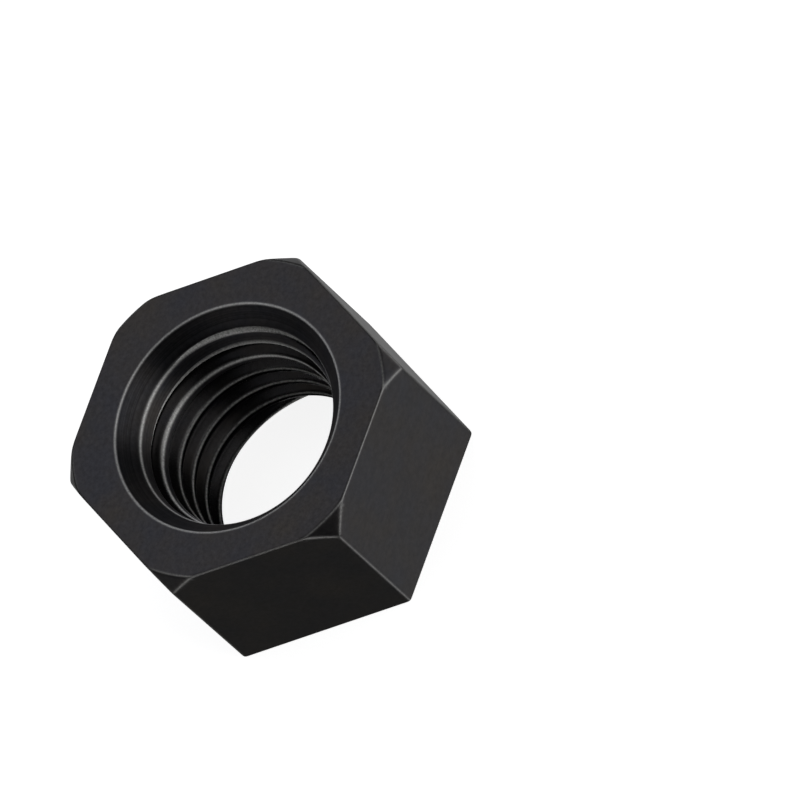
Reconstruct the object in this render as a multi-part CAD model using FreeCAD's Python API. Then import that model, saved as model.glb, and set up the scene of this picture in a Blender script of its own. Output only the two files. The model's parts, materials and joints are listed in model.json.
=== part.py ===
import FreeCAD, Part
import math
import os

# One plain hexagon nut with an M12 x 1.75 right-hand thread, in millimetres.
# Frame: the origin is the centre of the bearing face, +Z runs along the thread axis
# towards the countersunk face, and two of the six corners lie on the X axis.

# --- hexagon -------------------------------------------------------------------
ACROSS_FLATS = 18.0
HEIGHT = 10.6
SIDES = 6

# --- cone that takes the six corners off at the countersunk face -----------------
CHAMFER_CIRCLE_DIAMETER = 19.24     # where the cone meets the face plane
CHAMFER_ANGLE = 56.0                # degrees between the cone and the face plane

# --- thread ----------------------------------------------------------------------
ROOT_DIAMETER = 12.0                # deepest part of the groove
PITCH_DIAMETER = 11.05              # where groove and ridge are equally wide
CREST_DIAMETER = 10.5               # bore that is left between the grooves
PITCH = 1.75
FLANK_ANGLE = 30.0                  # degrees, each flank from the plane across the axis
FIRST_RIDGE_DEPTH = 2.25            # countersunk face to the middle of a ridge, on +X

# --- mouth of the bore at the countersunk face -----------------------------------
MOUTH_DIAMETER = 13.85
THROAT_DIAMETER = 11.9              # lower end of the countersink
THROAT_DEPTH = 1.2
LEAD_IN_DEPTH = 3.8                 # where the tapered lead-in reaches the crest bore

# --- clearance of the cutting bodies ---------------------------------------------
OVERSHOOT = 1.0                     # how far a cutting body runs past a face
GROOVE_INSIDE_CREST = 0.3           # how far the groove's body reaches inside the crest bore


def point(radius, degrees, height):
    """A point given by its distance and direction from the thread axis."""
    angle = math.radians(degrees)
    return FreeCAD.Vector(radius * math.cos(angle), radius * math.sin(angle), height)


def hexagon_bar():
    """The hexagonal bar that the nut is cut from, with a corner on +X."""
    corner_radius = ACROSS_FLATS / 2 / math.cos(math.pi / SIDES)
    turn = 360.0 / SIDES
    corners = [point(corner_radius, turn * side, 0.0) for side in range(SIDES)]
    outline = Part.makePolygon(corners + corners[:1])
    return Part.Face(outline).extrude(FreeCAD.Vector(0, 0, HEIGHT))


def turned_body(profile):
    """A solid of revolution about the thread axis, from (radius, height) points."""
    corners = [FreeCAD.Vector(radius, 0, height) for radius, height in profile]
    outline = Part.makePolygon(corners + corners[:1])
    return Part.Face(outline).revolve(FreeCAD.Vector(0, 0, 0), FreeCAD.Vector(0, 0, 1), 360)


def corner_chamfer():
    """The ring outside the chamfer cone, which only the six corners reach into."""
    slope = math.tan(math.radians(CHAMFER_ANGLE))
    circle_radius = CHAMFER_CIRCLE_DIAMETER / 2
    outer_radius = ACROSS_FLATS
    top = HEIGHT + OVERSHOOT
    return turned_body([
        (circle_radius - OVERSHOOT / slope, top),
        (outer_radius, top),
        (outer_radius, HEIGHT - (outer_radius - circle_radius) * slope),
    ])


def bore():
    """The hole at the crest diameter, its wall made of six equal arcs."""
    radius = CREST_DIAMETER / 2
    turn = 360.0 / SIDES
    arcs = []
    for side in range(SIDES):
        start = point(radius, turn * side, -OVERSHOOT)
        middle = point(radius, turn * (side + 0.5), -OVERSHOOT)
        end = point(radius, turn * (side + 1), -OVERSHOOT)
        arcs.append(Part.Arc(start, middle, end).toShape())
    length = HEIGHT + 2 * OVERSHOOT
    return Part.Face(Part.Wire(arcs)).extrude(FreeCAD.Vector(0, 0, length))


def mouth():
    """The countersink and, below it, the slimmer cone that leads into the crest bore."""
    mouth_radius = MOUTH_DIAMETER / 2
    throat_radius = THROAT_DIAMETER / 2
    spread = (mouth_radius - throat_radius) / THROAT_DEPTH
    return turned_body([
        (0.0, HEIGHT + OVERSHOOT),
        (0.0, HEIGHT - LEAD_IN_DEPTH),
        (CREST_DIAMETER / 2, HEIGHT - LEAD_IN_DEPTH),
        (throat_radius, HEIGHT - THROAT_DEPTH),
        (mouth_radius + OVERSHOOT * spread, HEIGHT + OVERSHOOT),
    ])


def groove_turn():
    """One turn of the helical groove: a trapezium with 60 degrees between its flanks."""
    root_radius = ROOT_DIAMETER / 2
    inner_radius = CREST_DIAMETER / 2 - GROOVE_INSIDE_CREST
    flank = math.tan(math.radians(FLANK_ANGLE))
    root_half_width = PITCH / 4 - (root_radius - PITCH_DIAMETER / 2) * flank
    inner_half_width = root_half_width + (root_radius - inner_radius) * flank
    section = Part.makePolygon([
        FreeCAD.Vector(root_radius, 0, -root_half_width),
        FreeCAD.Vector(root_radius, 0, root_half_width),
        FreeCAD.Vector(inner_radius, 0, inner_half_width),
        FreeCAD.Vector(inner_radius, 0, -inner_half_width),
        FreeCAD.Vector(root_radius, 0, -root_half_width),
    ])
    helix = Part.makeHelix(PITCH, PITCH, root_radius)
    return Part.Wire(helix.Edges).makePipeShell([section], True, True)


def cut_thread(blank):
    """The blank with the groove cut turn by turn, from below the bearing face to above the other."""
    middle_on_x = HEIGHT - FIRST_RIDGE_DEPTH + PITCH / 2
    turns_below = math.ceil(middle_on_x / PITCH) + 1
    turns_above = math.ceil((HEIGHT - middle_on_x) / PITCH)
    one_turn = groove_turn()
    for turn in range(-turns_below, turns_above):
        cutter = one_turn.copy()
        cutter.translate(FreeCAD.Vector(0, 0, middle_on_x + turn * PITCH))
        blank = blank.cut(cutter)
    return blank


def hex_nut():
    """The nut: bar, corners off, bored, countersunk, then threaded."""
    blank = hexagon_bar().cut(corner_chamfer())
    blank = blank.cut(bore())
    blank = blank.cut(mouth())
    return cut_thread(blank)


def only_solid(shape):
    """The single solid inside a cut's result."""
    if len(shape.Solids) != 1:
        raise ValueError("the nut came out as %d solids" % len(shape.Solids))
    return shape.Solids[0]


os.makedirs("parts", exist_ok=True)
nut = only_solid(hex_nut())
nut.exportStep("parts/hex_nut.step")
print("hex_nut volume %.1f mm3, valid %s" % (nut.Volume, nut.isValid()))
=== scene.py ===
import json
import math

import bpy
import numpy as np
from mathutils import Matrix, Vector


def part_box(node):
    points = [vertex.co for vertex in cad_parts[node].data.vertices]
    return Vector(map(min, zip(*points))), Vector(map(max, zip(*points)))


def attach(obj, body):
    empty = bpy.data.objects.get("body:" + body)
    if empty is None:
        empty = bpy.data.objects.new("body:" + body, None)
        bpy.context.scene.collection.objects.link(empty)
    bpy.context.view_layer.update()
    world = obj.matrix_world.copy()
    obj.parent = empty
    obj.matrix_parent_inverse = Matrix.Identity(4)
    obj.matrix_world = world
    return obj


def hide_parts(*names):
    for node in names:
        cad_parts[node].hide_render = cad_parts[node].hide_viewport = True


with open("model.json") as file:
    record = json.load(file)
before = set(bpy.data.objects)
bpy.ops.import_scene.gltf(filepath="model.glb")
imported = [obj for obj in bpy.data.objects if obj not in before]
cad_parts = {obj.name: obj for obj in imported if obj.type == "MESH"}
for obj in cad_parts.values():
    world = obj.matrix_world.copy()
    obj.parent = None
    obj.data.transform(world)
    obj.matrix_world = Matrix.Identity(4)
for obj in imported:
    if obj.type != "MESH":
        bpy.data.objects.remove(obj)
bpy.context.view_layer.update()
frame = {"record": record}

# The looks of one black-oxide hexagon nut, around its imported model. Everything that
# Blender holds is in metres; the nut's own sizes are in millimetres, as on its drawing.
MM = 0.001

# --- sizes that the frame gives ---------------------------------------------------------
LOWEST, HIGHEST = (Vector(corner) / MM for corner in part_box("hex_nut"))
HEIGHT = HIGHEST.z - LOWEST.z
ACROSS_FLATS = HIGHEST.y - LOWEST.y
MOUNTS = {mount["name"]: mount for mount in frame["record"]["mounts"]}
CREST_RADIUS = MOUNTS["thread"]["dims"]["r_mm"]

# --- the rest of the nut's drawing ------------------------------------------------------
SIDES = 6
CHAMFER_CIRCLE_RADIUS = 9.62        # where the corner cone meets the face
CHAMFER_ANGLE = math.radians(56.0)  # between that cone and the face
ROOT_RADIUS = 6.0
PITCH_RADIUS = 5.525
PITCH = 1.75
FLANK_ANGLE = math.radians(30.0)
FIRST_RIDGE_DEPTH = 2.25            # countersunk face to the middle of a ridge, on +X
MOUTH_RADIUS = 6.925
THROAT_RADIUS = 5.95
THROAT_DEPTH = 1.2
LEAD_IN_DEPTH = 3.8

# --- how far each kind of edge is rounded -----------------------------------------------
OUTER_EDGE = 0.16
RIM_EDGE = 0.13
THROAT_EDGE = 0.12
CREST_EDGE = 0.20
ROOT_FILLET = 0.25

# --- the last ridge's thin end at the bearing face, which is worn away ------------------
FEATHER_FULL = math.radians(70.0)   # from here on the ridge is whole
FEATHER_GONE = math.radians(14.0)   # here nothing of it is left
LAST_GROOVE = 4.5                   # pitches from the first ridge down to the last groove

# --- finishes: the mesh's material slots ------------------------------------------------
FACE, TURNED, THREAD = range(3)

# --- wear and painted highlight: how strongly each edge is rubbed and painted light, against 1, and its lines' half widths ------
OUTER_WEAR_AND_HIGHLIGHT = 0.20
OUTER_WEAR_WIDTH = 0.05
RIM_WEAR_AND_HIGHLIGHT = 0.55
LOWER_RIM_WEAR_AND_HIGHLIGHT = RIM_WEAR_AND_HIGHLIGHT / 3       # the hole's edge on the bearing face
RIM_WEAR_WIDTH = 0.05
THROAT_WEAR_AND_HIGHLIGHT = 0.8
THROAT_WEAR_WIDTH = 0.04
THROAT_LINE = 0.03                  # how far below its edge the middle of a line is
RIDGE_WEAR_WIDTH = 0.08
LOWER_EDGE_WEAR_WIDTH = 0.24
RIDGE_LINE = 0.06
BURRED_END = 1.65                   # depth down to which the thread's start is rubbed and painted light
FIRST_LINE_DEPTH = 2.2              # above this depth the thread's edges are cut clean
FIRST_BAND_DEPTH = 3.35             # down to here the ridge's lower edge is rubbed and painted light too

# --- painted light and shade: the oxide lighter on the lead-in and darker in the thread, against the outside's ---
LEAD_IN_PAINTED_LIGHT = 2.1
THREAD_PAINTED_SHADE = 0.4
SHADE_BLEND = 0.12                  # over how much field difference one turns into another

# --- mesh density -----------------------------------------------------------------------
COLUMNS_PER_HALF_SIDE = 20
BORE_ROWS = 330
OUTSIDE_ROWS = 58
BORE_SPACING = {"finest": 0.016, "growth": 0.12, "coarsest": 0.04}
OUTSIDE_SPACING = {"finest": 0.03, "growth": 0.35, "coarsest": 0.9}
PATH_SAMPLES = 4000                 # points at which a path's spacing is worked out
NEWTON_STEPS = 6                    # times that each point is moved onto the rounded skin
SLOPE_STEP = 1e-4                   # for the field's gradient
RING_RADIUS_TOP = 7.35              # on the countersunk face, between its two edges
RING_RADIUS_BOTTOM = 7.0            # the same on the bearing face


# ================================== shape ===============================================

def both(a, b, blend):
    """Smooth maximum: what two shapes have in common, its edge rounded over `blend`."""
    near = np.maximum(blend - np.abs(a - b), 0.0) / blend
    return np.maximum(a, b) + near * near * blend / 4


def either(a, b, blend):
    """Smooth minimum: two shapes joined, with a fillet over `blend`."""
    return -both(-a, -b, blend)


def ridge_offset(angle, z):
    """Height above the middle of the nearest groove, in a right-hand thread."""
    ridge_on_x = HEIGHT - FIRST_RIDGE_DEPTH
    from_ridge = z - ridge_on_x - PITCH * angle / (2 * math.pi)
    return np.mod(from_ridge, PITCH) - PITCH / 2


def feather_radius(angle):
    """How far the last ridge is worn back, by angle: crest radius where it is whole."""
    worn_and_highlit = np.clip((FEATHER_FULL - angle) / (FEATHER_FULL - FEATHER_GONE), 0.0, 1.0)
    return CREST_RADIUS + (ROOT_RADIUS - CREST_RADIUS) * worn_and_highlit ** 2


def bore_radii(angle, z):
    """Sharp radius of each surface that the hole has, at the given angle and height."""
    depth = HEIGHT - z
    countersink = MOUTH_RADIUS - depth * (MOUTH_RADIUS - THROAT_RADIUS) / THROAT_DEPTH
    lead_slope = (THROAT_RADIUS - CREST_RADIUS) / (LEAD_IN_DEPTH - THROAT_DEPTH)
    lead_in = THROAT_RADIUS - (depth - THROAT_DEPTH) * lead_slope
    from_groove = np.abs(ridge_offset(angle, z))
    flank = PITCH_RADIUS + (PITCH / 4 - from_groove) / math.tan(FLANK_ANGLE)
    return countersink, lead_in, flank


def outer_fields(x, y, z):
    """Signed distances to the hexagon's flats, its two end faces and the corner cone."""
    turns = [(side + 0.5) * 2 * math.pi / SIDES for side in range(SIDES)]
    flats = [x * math.cos(turn) + y * math.sin(turn) - ACROSS_FLATS / 2 for turn in turns]
    cone = (np.hypot(x, y) - CHAMFER_CIRCLE_RADIUS) * math.sin(CHAMFER_ANGLE)
    cone = cone + (z - HEIGHT) * math.cos(CHAMFER_ANGLE)
    return flats + [cone, z - HEIGHT, -z]


def hole_fields(x, y, z):
    """Signed distances, positive in the hole, to its countersink, lead-in, bore and groove."""
    radius = np.hypot(x, y)
    angle = np.arctan2(y, x)
    countersink, lead_in, flank = bore_radii(angle, z)
    tilt = math.atan2(MOUTH_RADIUS - THROAT_RADIUS, THROAT_DEPTH)
    groove = either((flank - radius) * math.sin(FLANK_ANGLE), ROOT_RADIUS - radius, ROOT_FILLET)
    turns = angle / (2 * math.pi)
    last_groove = HEIGHT - FIRST_RIDGE_DEPTH + PITCH * (turns - LAST_GROOVE)
    worn_end = np.minimum(feather_radius(angle) - radius, last_groove - z)
    worn_end = np.where(np.abs(angle) < math.pi / 2, worn_end, -1.0)
    crest = np.maximum(CREST_RADIUS - radius, worn_end)
    return (countersink - radius) * math.cos(tilt), lead_in - radius, crest, groove


def nut_field(place):
    """Negative inside the nut and zero on its skin, in millimetres."""
    outer = outer_fields(*place)
    outside = outer[0]
    for field in outer[1:]:
        outside = both(outside, field, OUTER_EDGE)
    countersink, lead_in, crest, groove = hole_fields(*place)
    hole = both(countersink, lead_in, THROAT_EDGE)
    hole = both(hole, crest, CREST_EDGE)
    hole = both(hole, groove, CREST_EDGE)
    return both(outside, hole, RIM_EDGE)


def in_the_hole(place):
    """Which points of the skin lie on the hole's wall, and not on the outside."""
    return np.max(hole_fields(*place), axis=0) > np.max(outer_fields(*place), axis=0)


def painted_hole_light_and_shade(place):
    """Painted light and shade in the hole: how light the oxide's colour is made, 1 on the outside
    and on the countersink, lighter on the lead-in and darker in the thread.
    """
    countersink, lead_in, _, groove = hole_fields(*place)
    to_lead_in = np.clip((lead_in - countersink) / SHADE_BLEND + 0.5, 0.0, 1.0)
    past_cones = groove - np.maximum(countersink, lead_in)
    to_thread = np.clip(past_cones / SHADE_BLEND + 0.5, 0.0, 1.0)
    shade = 1.0 + (LEAD_IN_PAINTED_LIGHT - 1.0) * to_lead_in
    shade = shade + (THREAD_PAINTED_SHADE - shade) * to_thread
    return np.where(in_the_hole(place), shade, 1.0)


def worn_highlight_line(across, centre, width):
    """1 on the middle of a rubbed, painted-highlight line and falling off on both sides, `across`
    in millimetres.
    """
    return np.exp(-((across - centre) / width) ** 2)


def edge_wear_and_highlight(place):
    """How rubbed and painted light each point is: 1 along the edges that stand out, 0 on the
    surfaces. The light lines are partly wear and partly painted highlight, light caught by the
    rounded edges.
    """
    outer = np.sort(outer_fields(*place), axis=0)
    countersink, lead_in, crest, groove = hole_fields(*place)
    land = np.maximum(lead_in, crest)
    wall = np.maximum(land, groove)
    depth = HEIGHT - place[2]
    outside = worn_highlight_line(outer[-1] - outer[-2], 0.0, OUTER_WEAR_WIDTH) * OUTER_WEAR_AND_HIGHLIGHT
    rim = worn_highlight_line(outer[-1] - np.maximum(wall, countersink), 0.0, RIM_WEAR_WIDTH)
    rim = rim * np.where(depth < HEIGHT / 2, RIM_WEAR_AND_HIGHLIGHT, LOWER_RIM_WEAR_AND_HIGHLIGHT)
    throat = worn_highlight_line(wall - countersink, THROAT_LINE, THROAT_WEAR_WIDTH) * THROAT_WEAR_AND_HIGHLIGHT
    burred_start = np.clip((groove - land) / RIDGE_WEAR_WIDTH + 1.0, 0.0, 1.0)
    burred_start = burred_start * np.clip((BURRED_END - depth) / RIDGE_WEAR_WIDTH, 0.0, 1.0)
    upper_side = ridge_offset(np.arctan2(place[1], place[0]), place[2]) < 0
    upper_edge = worn_highlight_line(land - groove, RIDGE_LINE, RIDGE_WEAR_WIDTH)
    lower_edge = worn_highlight_line(land - groove, RIDGE_LINE, LOWER_EDGE_WEAR_WIDTH)
    lower_edge = np.where(depth < FIRST_BAND_DEPTH, lower_edge, 0.0)
    ridge = np.where(upper_side, upper_edge, lower_edge)
    ridge = np.where(depth > FIRST_LINE_DEPTH, ridge, burred_start)
    in_hole = np.where(wall > countersink, np.maximum(throat, ridge), throat)
    return np.maximum(rim, np.where(in_the_hole(place), in_hole, outside))


def field_slope(place):
    """Gradient of the field, by central differences."""
    slope = []
    for axis in range(3):
        shift = np.zeros((3,) + (1,) * (place.ndim - 1))
        shift[axis] = SLOPE_STEP
        rise = nut_field(place + shift) - nut_field(place - shift)
        slope.append(rise / (2 * SLOPE_STEP))
    return np.array(slope)


# ================================== mesh rows and columns ===============================

def column_angles():
    """Angles of the mesh columns, close together at each corner of the hexagon."""
    half = math.pi / SIDES
    steps = np.arange(COLUMNS_PER_HALF_SIDE) / COLUMNS_PER_HALF_SIDE
    leaving = half * steps ** 2
    arriving = 2 * half - half * (1 - steps) ** 2
    one_side = np.concatenate([leaving, arriving])
    return np.concatenate([one_side + 2 * half * side for side in range(SIDES)])


def spread(length, edges, count, finest, growth, coarsest):
    """Distances along a path, `count` of them, closer together near its edges."""
    fine = np.linspace(0.0, length, PATH_SAMPLES)
    nearest = np.min([np.abs(fine - edge) for edge in edges], axis=0)
    density = 1.0 / np.minimum(finest + growth * nearest, coarsest)
    total = np.concatenate([[0.0], np.cumsum((density[1:] + density[:-1]) / 2)])
    return np.interp(np.linspace(0.0, total[-1], count), total, fine)


def bore_column(angle):
    """Sharp (radius, height) points from the bearing face, up the hole, onto the other face."""
    def wall_radius(z):
        countersink, lead_in, flank = bore_radii(angle, z)
        groove = np.minimum(flank, ROOT_RADIUS)
        return np.maximum.reduce([countersink, lead_in, groove, np.full_like(z, CREST_RADIUS)])

    foot = float(wall_radius(np.zeros(1))[0])
    under = RING_RADIUS_BOTTOM - foot
    over = RING_RADIUS_TOP - MOUTH_RADIUS
    edges = [under, under + HEIGHT - THROAT_DEPTH, under + HEIGHT]
    along = spread(under + HEIGHT + over, edges, BORE_ROWS, **BORE_SPACING)
    z = np.clip(along - under, 0.0, HEIGHT)
    radius = wall_radius(z)
    radius = np.where(along < under, RING_RADIUS_BOTTOM - along, radius)
    radius = np.where(along > under + HEIGHT, MOUTH_RADIUS + along - under - HEIGHT, radius)
    return radius, z


def outside_column(angle):
    """Sharp (radius, height) points from the countersunk face, down the outside, to the other."""
    half = math.pi / SIDES
    from_flat = np.mod(angle, 2 * half) - half
    side = ACROSS_FLATS / 2 / math.cos(from_flat)
    edge = min(side, CHAMFER_CIRCLE_RADIUS)
    shoulder = HEIGHT - (side - edge) * math.tan(CHAMFER_ANGLE)
    stops = [(RING_RADIUS_TOP, HEIGHT), (edge, HEIGHT), (side, shoulder), (side, 0.0),
             (RING_RADIUS_BOTTOM, 0.0)]
    radii, heights = np.array(stops).T
    reach = np.concatenate([[0.0], np.cumsum(np.hypot(np.diff(radii), np.diff(heights)))])
    along = spread(reach[-1], reach[1:4], OUTSIDE_ROWS, **OUTSIDE_SPACING)
    return np.interp(along, reach, radii), np.interp(along, reach, heights)


def nut_surface():
    """Points (3, rows, columns) on the rounded skin, with normals and kind of finish."""
    angles = column_angles()
    columns = []
    for angle in angles:
        hole = bore_column(angle)
        outside = outside_column(angle)
        radius = np.concatenate([hole[0], outside[0][1:-1]])
        height = np.concatenate([hole[1], outside[1][1:-1]])
        columns.append([radius * math.cos(angle), radius * math.sin(angle), height])
    place = np.array(columns).transpose(1, 2, 0)
    for _ in range(NEWTON_STEPS):
        slope = field_slope(place)
        place = place - nut_field(place) * slope / np.sum(slope ** 2, axis=0)
    slope = field_slope(place)
    normal = slope / np.sqrt(np.sum(slope ** 2, axis=0))
    countersink, lead_in, _, groove = hole_fields(*place)
    on_cone = np.maximum(countersink, lead_in) > np.maximum(groove, -CREST_EDGE)
    finish = np.where(on_cone, TURNED, THREAD)
    finish = np.where(in_the_hole(place), finish, FACE)
    return place, normal, finish


def finished_nut():
    """The nut's mesh: one closed grid that runs up the hole and down the outside."""
    place, normal, finish = nut_surface()
    rows, columns = place.shape[1:]
    index = np.arange(rows * columns).reshape(rows, columns)
    above = np.roll(index, -1, axis=0)
    corners = [index, np.roll(index, -1, axis=1), np.roll(above, -1, axis=1), above]
    faces = np.stack([corner.ravel() for corner in corners], axis=1)
    points = place.reshape(3, -1).T * MM
    normals = normal.reshape(3, -1).T
    mesh = bpy.data.meshes.new("hex_nut_finished")
    mesh.from_pydata(points.tolist(), [], faces.tolist())
    mesh.polygons.foreach_set("use_smooth", [True] * len(faces))
    mesh.polygons.foreach_set("material_index", finish.ravel().astype(np.int32))
    # Two painted attributes: edge wear with painted highlights, and the hole's painted light and
    # shade.
    for name, values in (("wear_and_highlight", edge_wear_and_highlight(place)), ("shade", painted_hole_light_and_shade(place))):
        attribute = mesh.attributes.new(name, "FLOAT", "POINT")
        attribute.data.foreach_set("value", values.ravel())
    mesh.update()
    first = mesh.polygons[0]
    outward = Vector(normals[first.vertices[0]])
    if first.normal.dot(outward) < 0:
        mesh.flip_normals()
    mesh.normals_split_custom_set_from_vertices(normals.tolist())
    return bpy.data.objects.new("hex_nut_finished", mesh)


# ================================== material ============================================

class Nodes:
    """Short ways to add and join the nodes of one material."""

    def __init__(self, tree):
        self.tree = tree

    def add(self, kind, inputs=(), **settings):
        node = self.tree.nodes.new(kind)
        for name, value in settings.items():
            setattr(node, name, value)
        for socket, value in dict(inputs).items():
            self.put(node.inputs[socket], value)
        return node

    def put(self, socket, value):
        if isinstance(value, bpy.types.NodeSocket):
            self.tree.links.new(value, socket)
        else:
            socket.default_value = value

    def math(self, operation, *values):
        node = self.add("ShaderNodeMath", operation=operation)
        for socket, value in zip(node.inputs, values):
            self.put(socket, value)
        return node.outputs[0]

    def noise(self, vector, scale, detail=2.0, roughness=0.5):
        node = self.add("ShaderNodeTexNoise",
                        {"Vector": vector, "Scale": scale, "Detail": detail,
                         "Roughness": roughness})
        return node.outputs["Fac"]

    def between(self, value, low, high, to_low=0.0, to_high=1.0):
        node = self.add("ShaderNodeMapRange",
                        {"Value": value, "From Min": low, "From Max": high,
                         "To Min": to_low, "To Max": to_high})
        return node.outputs["Result"]

    def blend(self, factor, a, b):
        node = self.add("ShaderNodeMix", {"Factor": factor}, data_type="RGBA")
        colour_a, colour_b, result = node.inputs[6], node.inputs[7], node.outputs[2]
        self.put(colour_a, a)
        self.put(colour_b, b)
        return result


BLACK_OXIDE = (0.032, 0.032, 0.036, 1.0)
BROWNED_OXIDE = (0.043, 0.039, 0.036, 1.0)
# Painted highlight: the light colour of the rubbed edges is partly bare steel and partly light
# caught on the rounded edges.
RUBBED_AND_HIGHLIT_EDGE = (0.86, 0.86, 0.84, 1.0)
RUBBED_ROUGHNESS = 0.6
RUBBED_METAL = 0.65
SPECKLE = 0.19                      # how much the fine speckle changes the shade
TURNING_MARKS = 0.35                # how much turning marks change it on a turned surface
LEAST_RUBBED = 0.55                 # what the grain leaves of the wear and painted highlight where it leaves least
MOTTLE_MATT = 0.04                  # how much the mottle changes the roughness
GRAIN_MATT = 0.02                   # how much the grain does
BUMP_STRENGTH = 0.25
BUMP_HEIGHT = 0.01 * MM
ROUND_THE_AXIS = 0.25               # anisotropy's rotation, in turns

# Noise textures, their scales in features per millimetre.
MOTTLE_NOISE = {"scale": 0.32, "detail": 5.0, "roughness": 0.6}
GRAIN_NOISE = {"scale": 9.0, "detail": 3.0, "roughness": 0.6}
TURNING_NOISE = {"scale": 7.0, "detail": 4.0, "roughness": 0.7}
SPECKLE_NOISE = {"scale": 3.5, "detail": 4.0, "roughness": 0.7}

# The nut's materials in the order of its slots: FACE, TURNED, THREAD.
FINISHES = {
    "black_oxide_face": {"roughness": 0.40},
    "black_oxide_turned": {"roughness": 0.50, "anisotropy": 0.85,
                           "rubbed_metal": RUBBED_METAL},
    "black_oxide_thread": {"roughness": 0.28, "rubbed_metal": RUBBED_METAL},
}


def black_oxide(name, roughness, anisotropy=0.0, rubbed_metal=1.0):
    """Black-oxide steel: mottled satin black, turning marks round the axis, rubbed edges with
    painted highlights, and painted light and shade in the hole.
    """
    material = bpy.data.materials.new(name)
    material.use_nodes = True
    tree = material.node_tree
    tree.nodes.clear()
    nodes = Nodes(tree)
    place = nodes.add("ShaderNodeTexCoord").outputs["Object"]
    place = nodes.add("ShaderNodeVectorMath", {0: place, 1: (1 / MM, 1 / MM, 1 / MM)},
                      operation="MULTIPLY").outputs[0]
    x, y, z = nodes.add("ShaderNodeSeparateXYZ", {0: place}).outputs
    radius = nodes.math("SQRT", nodes.math("ADD", nodes.math("MULTIPLY", x, x),
                                           nodes.math("MULTIPLY", y, y)))
    rings = nodes.add("ShaderNodeCombineXYZ", {0: radius, 1: z}).outputs[0]

    mottle = nodes.noise(place, **MOTTLE_NOISE)
    grain = nodes.noise(place, **GRAIN_NOISE)
    turning = nodes.noise(rings, **TURNING_NOISE)

    # Painted highlight: the edge attribute marks the edges that get the light rubbed colour,
    # partly wear and partly painted highlight.
    wear_and_highlight = nodes.add("ShaderNodeAttribute", attribute_name="wear_and_highlight").outputs["Fac"]
    worn_and_highlit = nodes.math("MULTIPLY", wear_and_highlight, nodes.between(grain, 0.3, 0.6, LEAST_RUBBED, 1.0))
    oxide = nodes.blend(nodes.between(mottle, 0.35, 0.7), BLACK_OXIDE, BROWNED_OXIDE)
    # Painted light and shade: this attribute makes the oxide lighter on the lead-in and darker in
    # the thread.
    shade = nodes.add("ShaderNodeAttribute", attribute_name="shade").outputs["Fac"]
    speckle = nodes.noise(place, **SPECKLE_NOISE)
    speckle = nodes.between(speckle, 0.3, 0.7, 1.0 - SPECKLE, 1.0 + SPECKLE)
    shade = nodes.math("MULTIPLY", shade, speckle)
    if anisotropy:
        marks = nodes.between(turning, 0.35, 0.65, 1.0 - TURNING_MARKS, 1.0 + TURNING_MARKS)
        shade = nodes.math("MULTIPLY", shade, marks)
    oxide = nodes.add("ShaderNodeVectorMath", {0: oxide, "Scale": shade},
                      operation="SCALE").outputs[0]
    # Painted highlight: the oxide turns into the light rubbed-edge colour along the edges.
    colour = nodes.blend(worn_and_highlit, oxide, RUBBED_AND_HIGHLIT_EDGE)

    by_mottle = nodes.between(mottle, 0.3, 0.7, roughness - MOTTLE_MATT,
                              roughness + MOTTLE_MATT)
    by_grain = nodes.between(grain, 0.3, 0.7, -GRAIN_MATT, GRAIN_MATT)
    matt = nodes.math("ADD", by_mottle, by_grain)
    matt = nodes.between(worn_and_highlit, 0.0, 1.0, matt, RUBBED_ROUGHNESS)
    height = nodes.math("ADD", nodes.math("MULTIPLY", grain, 0.5),
                        nodes.math("MULTIPLY", turning, 0.5))
    bump = nodes.add("ShaderNodeBump", {"Strength": BUMP_STRENGTH, "Distance": BUMP_HEIGHT,
                                        "Height": height})
    metallic = 1.0
    if rubbed_metal < 1.0:
        metallic = nodes.between(worn_and_highlit, 0.0, 1.0, 1.0, rubbed_metal)
    shader = nodes.add("ShaderNodeBsdfPrincipled",
                       {"Base Color": colour, "Roughness": matt, "Metallic": metallic,
                        "Normal": bump.outputs[0]})
    if anisotropy:
        shader.inputs["Anisotropic"].default_value = anisotropy
        shader.inputs["Anisotropic Rotation"].default_value = ROUND_THE_AXIS
        round_axis = nodes.add("ShaderNodeTangent", direction_type="RADIAL", axis="Z")
        nodes.put(shader.inputs["Tangent"], round_axis.outputs[0])
    nodes.add("ShaderNodeOutputMaterial", {"Surface": shader.outputs[0]})
    return material


# ================================== studio ==============================================

FLOOR_HALF_SIZE = 3.0
FLOOR_GLOW = 0.86
FLOOR_ALBEDO = 0.5
CARD_GAP = 0.05 * MM
CARD_CORNERS = 48
CARD_ALBEDO = 0.01
CARD_ROUGHNESS = 0.9
WHITE = (1.0, 1.0, 1.0, 1.0)


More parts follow.
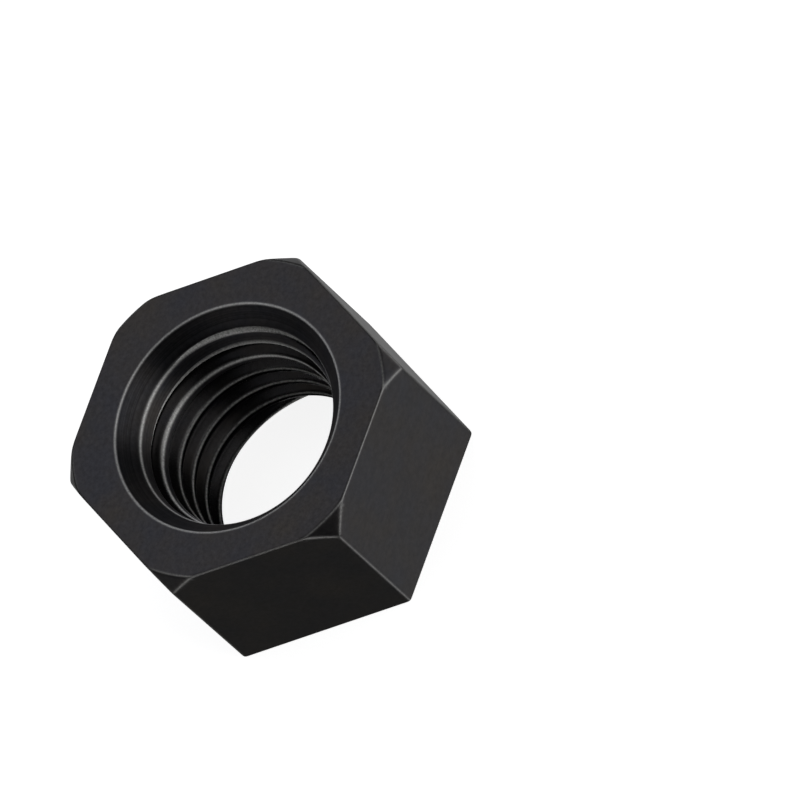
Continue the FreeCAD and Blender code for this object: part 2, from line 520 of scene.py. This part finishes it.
def floor():
    """A large white lightbox table, seen by the camera but not mirrored in the nut."""
    side = FLOOR_HALF_SIZE
    mesh = bpy.data.meshes.new("floor")
    mesh.from_pydata([(-side, -side, 0), (side, -side, 0), (side, side, 0), (-side, side, 0)],
                     [], [(0, 1, 2, 3)])
    material = bpy.data.materials.new("white_table")
    material.use_nodes = True
    tree = material.node_tree
    tree.nodes.clear()
    nodes = Nodes(tree)
    matt = nodes.add("ShaderNodeBsdfDiffuse",
                     {"Color": (FLOOR_ALBEDO, FLOOR_ALBEDO, FLOOR_ALBEDO, 1.0)})
    glow = nodes.add("ShaderNodeEmission", {"Color": WHITE, "Strength": FLOOR_GLOW})
    above = nodes.add("ShaderNodeAddShader", {0: matt.outputs[0], 1: glow.outputs[0]})
    below = nodes.add("ShaderNodeBsdfTransparent")
    side_seen = nodes.add("ShaderNodeNewGeometry").outputs["Backfacing"]
    surface = nodes.add("ShaderNodeMixShader",
                        {0: side_seen, 1: above.outputs[0], 2: below.outputs[0]})
    nodes.add("ShaderNodeOutputMaterial", {"Surface": surface.outputs[0]})
    material.cycles.emission_sampling = "NONE"
    mesh.materials.append(material)
    table = bpy.data.objects.new("floor", mesh)
    bpy.context.collection.objects.link(table)
    table.visible_glossy = False
    table.visible_diffuse = False
    table.visible_shadow = False


def painted_shade_card():
    """A black card under the hole, there only for what its wall mirrors from below: painted
    shade, standing in for the shaded floor under the nut.
    """
    radius = CREST_RADIUS * MM
    turns = [2 * math.pi * corner / CARD_CORNERS for corner in range(CARD_CORNERS)]
    mesh = bpy.data.meshes.new("painted_shade_card")
    mesh.from_pydata([(radius * math.cos(turn), radius * math.sin(turn), -CARD_GAP)
                      for turn in turns], [], [range(CARD_CORNERS)])
    material = bpy.data.materials.new("black_card")
    material.use_nodes = True
    shader = material.node_tree.nodes["Principled BSDF"]
    shader.inputs["Base Color"].default_value = (CARD_ALBEDO, CARD_ALBEDO, CARD_ALBEDO, 1.0)
    shader.inputs["Roughness"].default_value = CARD_ROUGHNESS
    mesh.materials.append(material)
    card = bpy.data.objects.new("painted_shade_card", mesh)
    bpy.context.collection.objects.link(card)
    card.visible_camera = False


def direction(azimuth, elevation):
    """Unit vector towards a compass azimuth (degrees from +X) and elevation."""
    a, e = math.radians(azimuth), math.radians(elevation)
    return Vector((math.cos(a) * math.cos(e), math.sin(a) * math.cos(e), math.sin(e)))


BACKDROP_LEVEL = 1.0
ROOM_LEVEL = 0.06
LIGHT_DISTANCE = 1.0

# Soft panels round the nut: azimuth and elevation in degrees, width and height in
# metres, brightness, and a tint where the panel isn't white.
PANELS = {
    "right": (-70, 6, 1.10, 4.2, 1.12),
    "right_middle": (-72, 12, 0.90, 0.35, 0.8),
    "low_right": (-15, -16, 1.0, 0.5, 1.3),
    "behind": (63, 52, 1.10, 0.9, 1.03, (0.97, 0.98, 1.03)),
    "low_behind": (57, -50, 1.0, 1.0, 0.50),
    "left_high": (160, 48, 0.78, 0.75, 0.65),
    "low_left": (149, -14, 0.5, 0.4, 0.5),
    "left_low": (165, -35, 1.20, 1.2, 0.075, (1.04, 1.0, 0.84)),
    "low_front_left": (193, -12, 0.6, 0.4, 2.6),
    "low_front": (237, -55, 0.5, 0.5, 1.0),
}


def room():
    """The world: white behind the table, and a dim room for the nut to mirror."""
    world = bpy.data.worlds.new("studio")
    bpy.context.scene.world = world
    world.use_nodes = True
    tree = world.node_tree
    tree.nodes.clear()
    nodes = Nodes(tree)
    seen = nodes.add("ShaderNodeBackground", {"Color": WHITE, "Strength": BACKDROP_LEVEL})
    mirrored = nodes.add("ShaderNodeBackground", {"Color": WHITE, "Strength": ROOM_LEVEL})
    direct = nodes.add("ShaderNodeLightPath").outputs["Is Camera Ray"]
    surface = nodes.add("ShaderNodeMixShader",
                        {0: direct, 1: mirrored.outputs[0], 2: seen.outputs[0]})
    nodes.add("ShaderNodeOutputWorld", {"Surface": surface.outputs[0]})


def panel(name, azimuth, elevation, width, height, brightness, tint=(1.0, 1.0, 1.0)):
    """An upright rectangular softbox that looks at the nut, of a given radiance."""
    light = bpy.data.lights.new(name, "AREA")
    light.shape = "RECTANGLE"
    light.size = width
    light.size_y = height
    light.energy = brightness * math.pi * width * height
    light.color = tint
    lamp = bpy.data.objects.new(name, light)
    away = direction(azimuth, elevation)
    lamp.location = away * LIGHT_DISTANCE
    lamp.rotation_mode = "QUATERNION"
    lamp.rotation_quaternion = away.to_track_quat("Z", "Y")
    bpy.context.collection.objects.link(lamp)


# The camera looks down on the countersunk face, turned on its own axis.
CAMERA_AZIMUTH = -116.892
CAMERA_ELEVATION = 55.220
CAMERA_ROLL = 47.165
CAMERA_DISTANCE = 0.896017
CAMERA_AIM = Vector((4.8487, -6.5709, 5.3)) * MM
LENS = 729.943
SENSOR = 36.0
NEAREST, FARTHEST = 0.01, 100.0


def camera():
    """The camera at the reference view: far away, with a very long lens."""
    away = direction(CAMERA_AZIMUTH, CAMERA_ELEVATION)
    level = (-away).cross(Vector((0, 0, 1))).normalized()
    upright = level.cross(-away)
    roll = math.radians(CAMERA_ROLL)
    up = upright * math.cos(roll) + level * math.sin(roll)
    right = level * math.cos(roll) - upright * math.sin(roll)
    data = bpy.data.cameras.new("camera")
    data.sensor_width = SENSOR
    data.lens = LENS
    data.clip_start = NEAREST
    data.clip_end = FARTHEST
    eye = bpy.data.objects.new("camera", data)
    turn = Matrix((right, up, away)).transposed()
    eye.matrix_world = Matrix.Translation(CAMERA_AIM + away * CAMERA_DISTANCE) @ turn.to_4x4()
    bpy.context.collection.objects.link(eye)
    bpy.context.scene.camera = eye


nut = finished_nut()
bpy.context.collection.objects.link(nut)
for name, settings in FINISHES.items():
    nut.data.materials.append(black_oxide(name, **settings))
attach(nut, "root")
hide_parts("hex_nut")

floor()
painted_shade_card()
room()
for name, settings in PANELS.items():
    panel(name, *settings)
camera()
bpy.context.scene.view_settings.view_transform = "Standard"
